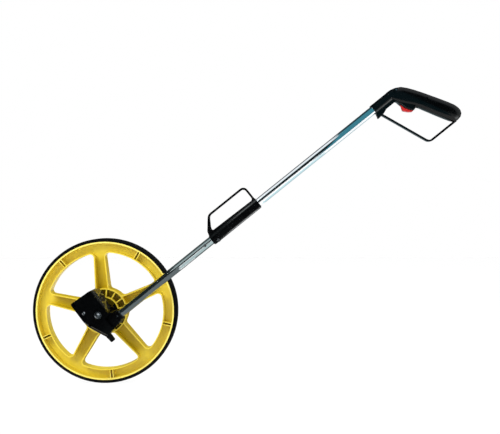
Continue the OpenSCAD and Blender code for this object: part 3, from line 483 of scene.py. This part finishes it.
# The record's slots by name, and the two inks of the drums' figures.
MATERIALS = {
    "yellow_plastic": yellow_plastic(),
    "tyre_rubber": rubber(),
    "tube_chrome": chrome(),
    "bright_steel": steel("bright_steel", (0.62, 0.63, 0.65), (0.80, 0.81, 0.83), 0.24),
    "spring_steel": steel("spring_steel", (0.44, 0.45, 0.46), (0.62, 0.63, 0.65), 0.34),
    "black_steel": steel("black_steel", (0.10, 0.10, 0.105), (0.17, 0.17, 0.175), 0.36),
    "black_gloss": mottled(
        "black_gloss", (45, 4), ((0.008, 0.010, 0.013), (0.020, 0.023, 0.028)),
        (90, 5, 0.6), (0.16, 0.28), grain=(1100, 0.00005, 0.35), gloss_top=0.75,
        IOR=1.5, Specular_IOR_Level=0.22),
    "black_satin": mottled(
        "black_satin", (60, 4), ((0.018, 0.020, 0.025), (0.040, 0.043, 0.050)),
        (130, 5, 0.6), (0.26, 0.40), grain=(1300, 0.00006, 0.5), gloss_top=0.75,
        IOR=1.48, Specular_IOR_Level=0.26),
    "cream_plastic": mottled(
        "cream_plastic", (80, 4), ((0.86, 0.84, 0.77), (0.93, 0.915, 0.86)),
        (200, 3), (0.35, 0.5), grain=(1200, 0.00004, 0.4), IOR=1.46),
    "bronze": mottled(
        "bronze", (150, 5), ((0.58, 0.43, 0.24), (0.78, 0.62, 0.38)),
        (400, 3), (0.28, 0.45), Metallic=1.0),
    "red_plastic": mottled(
        "red_plastic", (90, 4), ((0.72, 0.07, 0.06), (0.84, 0.13, 0.10)),
        (150, 4), (0.25, 0.38), grain=(1200, 0.00005, 0.4),
        IOR=1.5, Coat_Weight=0.2, Coat_Roughness=0.15),
    "smoky_lens": mottled(
        "smoky_lens", (40, 3), ((0.34, 0.345, 0.32), (0.43, 0.43, 0.39)),
        (130, 4), (0.04, 0.14), gloss_top=0.75, IOR=1.46, Transmission_Weight=0.85),
    "black_ink": ink("black_ink", (0.05, 0.05, 0.055), (0.10, 0.10, 0.105)),
    "red_ink": ink("red_ink", (0.70, 0.06, 0.05), (0.78, 0.10, 0.08)),
}

# The photo shows no bright heads on the grip.
BLACKENED = {"grip_screws": "black_steel"}


def dress_nodes():
    """Each CAD node takes the material of its slot."""
    for part in frame["record"]["subparts"]:
        name = part["node"]
        materials = nodes[name].data.materials
        materials.clear()
        materials.append(MATERIALS[BLACKENED.get(name, part["material_slot"])])


# ---------------------------------------------------------------- soft edges
# The width of each node's rounded edges, in millimetres.
EDGES = {
    "wheel": 0.45, "tyre": 0.6, "housing_cover": 0.9, "housing_back": 0.4, "counter_lens": 0.5,
    "fold_bracket": 0.7, "fold_knuckle": 0.3, "axle_nut": 0.3, "reset_lever": 0.5,
    "lower_pole": 0.2, "upper_pole": 0.2,
    "grip_near_half": 0.5, "grip_far_half": 0.5, "hand_guard": 0.6, "trigger": 0.5,
}


def smooth_group():
    """Geometry nodes that shade smooth, with the edges past the crease angle kept sharp."""
    group = bpy.data.node_groups.new("smooth_by_angle", "GeometryNodeTree")
    for way in ("INPUT", "OUTPUT"):
        group.interface.new_socket("Geometry", in_out=way, socket_type="NodeSocketGeometry")
    group.is_modifier = True
    shade = "GeometryNodeSetShadeSmooth"
    chain = [group.nodes.new(kind) for kind in ("NodeGroupInput", shade, shade, "NodeGroupOutput")]
    for a, b in zip(chain, chain[1:]):
        group.links.new(a.outputs[0], b.inputs[0])
    faces, edges = chain[1:3]
    faces.domain, edges.domain = "FACE", "EDGE"
    faces.inputs["Shade Smooth"].default_value = True
    edges.inputs["Shade Smooth"].default_value = False
    angle = group.nodes.new("GeometryNodeInputMeshEdgeAngle")
    sharp = group.nodes.new("FunctionNodeCompare")
    sharp.operation = "GREATER_THAN"
    sharp.inputs[1].default_value = CREASE
    group.links.new(angle.outputs["Unsigned Angle"], sharp.inputs[0])
    group.links.new(sharp.outputs[0], edges.inputs["Selection"])
    return group


def soften_edges():
    """Modifiers that join a node's faces, smooth them, and round its edges within its size."""
    group = smooth_group()
    for name, width in EDGES.items():
        modifiers = nodes[name].modifiers
        weld = modifiers.new("weld", "WELD")
        weld.merge_threshold = 1e-5
        smooth = modifiers.new("smooth", "NODES")
        smooth.node_group = group
        bevel = modifiers.new("edges", "BEVEL")
        bevel.width = width * MM
        bevel.segments = 2
        bevel.limit_method = "ANGLE"
        bevel.angle_limit = CREASE
        bevel.use_clamp_overlap = True
        bevel.harden_normals = False
        normals = modifiers.new("normals", "WEIGHTED_NORMAL")
        normals.keep_sharp = True
        normals.weight = 50


# ---------------------------------------------------------------- figures on the counter's drums
DRUMS = 5
FIGURE_SIZE = 6.0 * MM
FIGURE_STEP = math.radians(36)
# How far the figures stand off the drum, and into how many strips each is cut.
FIGURE_PROUD = 0.00003
FIGURE_STRIPS = 8
# From the second drum on, the figures sit off the middle, toward the camera's side.
FIGURE_SHIFT = -0.0006


def piece(name, net, material, body):
    """A visual piece made from a mesh in hand, riding one body."""
    mesh = bpy.data.meshes.new(name)
    bmesh.ops.recalc_face_normals(net, faces=net.faces)
    net.to_mesh(mesh)
    net.free()
    mesh.materials.append(MATERIALS[material])
    mesh.shade_smooth()
    mesh.set_sharp_from_angle(angle=CREASE)
    obj = link_object(bpy.data.objects.new(name, mesh))
    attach(obj, body)


def flat_figure(text, size):
    """A figure as flat faces round the origin, cut into strips so that it can be wrapped."""
    curve = bpy.data.curves.new("figure", "FONT")
    curve.body = text
    curve.size = size
    curve.align_x = "CENTER"
    obj = link_object(bpy.data.objects.new("figure", curve))
    depsgraph = bpy.context.evaluated_depsgraph_get()
    mesh = bpy.data.meshes.new_from_object(obj.evaluated_get(depsgraph))
    bpy.data.objects.remove(obj)
    net = bmesh.new()
    net.from_mesh(mesh)
    ys = [v.co.y for v in net.verts]
    mid = (min(ys) + max(ys)) / 2
    for v in net.verts:
        v.co.y -= mid
    half = (max(ys) - min(ys)) / 2
    for i in range(1, FIGURE_STRIPS):
        geom = net.verts[:] + net.edges[:] + net.faces[:]
        place = (0, half * (2 * i / FIGURE_STRIPS - 1), 0)
        bmesh.ops.bisect_plane(net, geom=geom, dist=1e-7, plane_co=place, plane_no=(0, 1, 0))
    return net


def drum_figures(k):
    """The figures 0 to 9 round one number drum; at rest, 0 faces up the pole."""
    node = "number_drum_%d" % k
    low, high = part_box(node)
    centre = (Vector(low) + Vector(high)) / 2
    r = (high[0] - low[0]) / 2 + FIGURE_PROUD
    y = (low[1] + high[1]) / 2 + (FIGURE_SHIFT if k > 1 else 0)
    whole = bmesh.new()
    for digit in range(10):
        net = flat_figure(str(digit), FIGURE_SIZE)
        start = POLE_ANGLE + digit * FIGURE_STEP
        for v in net.verts:
            angle = start + v.co.y / r
            x, z = centre.x + r * math.cos(angle), centre.z + r * math.sin(angle)
            v.co = Vector((x, y + v.co.x, z))
        part = bpy.data.meshes.new("part")
        net.to_mesh(part)
        net.free()
        whole.from_mesh(part)
    material = "red_ink" if k == 1 else "black_ink"
    piece("figures_%d" % k, whole, material, "drum_%d" % k)


# ---------------------------------------------------------------- floor
def stage():
    """The studio floor."""
    mesh = bpy.data.meshes.new("floor")
    net = bmesh.new()
    bmesh.ops.create_grid(net, x_segments=8, y_segments=8, size=4)
    net.to_mesh(mesh)
    net.free()
    mesh.materials.append(stage_white())
    obj = link_object(bpy.data.objects.new("floor", mesh))
    obj.location = FLOOR_PLACE


camera()
world()
for lamp in AREA_LIGHTS:
    area_light(*lamp)
for row in STRIPS:
    strip(*row)
for row in CARDS:
    card(*row)
bpy.context.scene.view_settings.view_transform = "Standard"
dress_nodes()
soften_edges()
stage()
for k in range(1, DRUMS + 1):
    drum_figures(k)
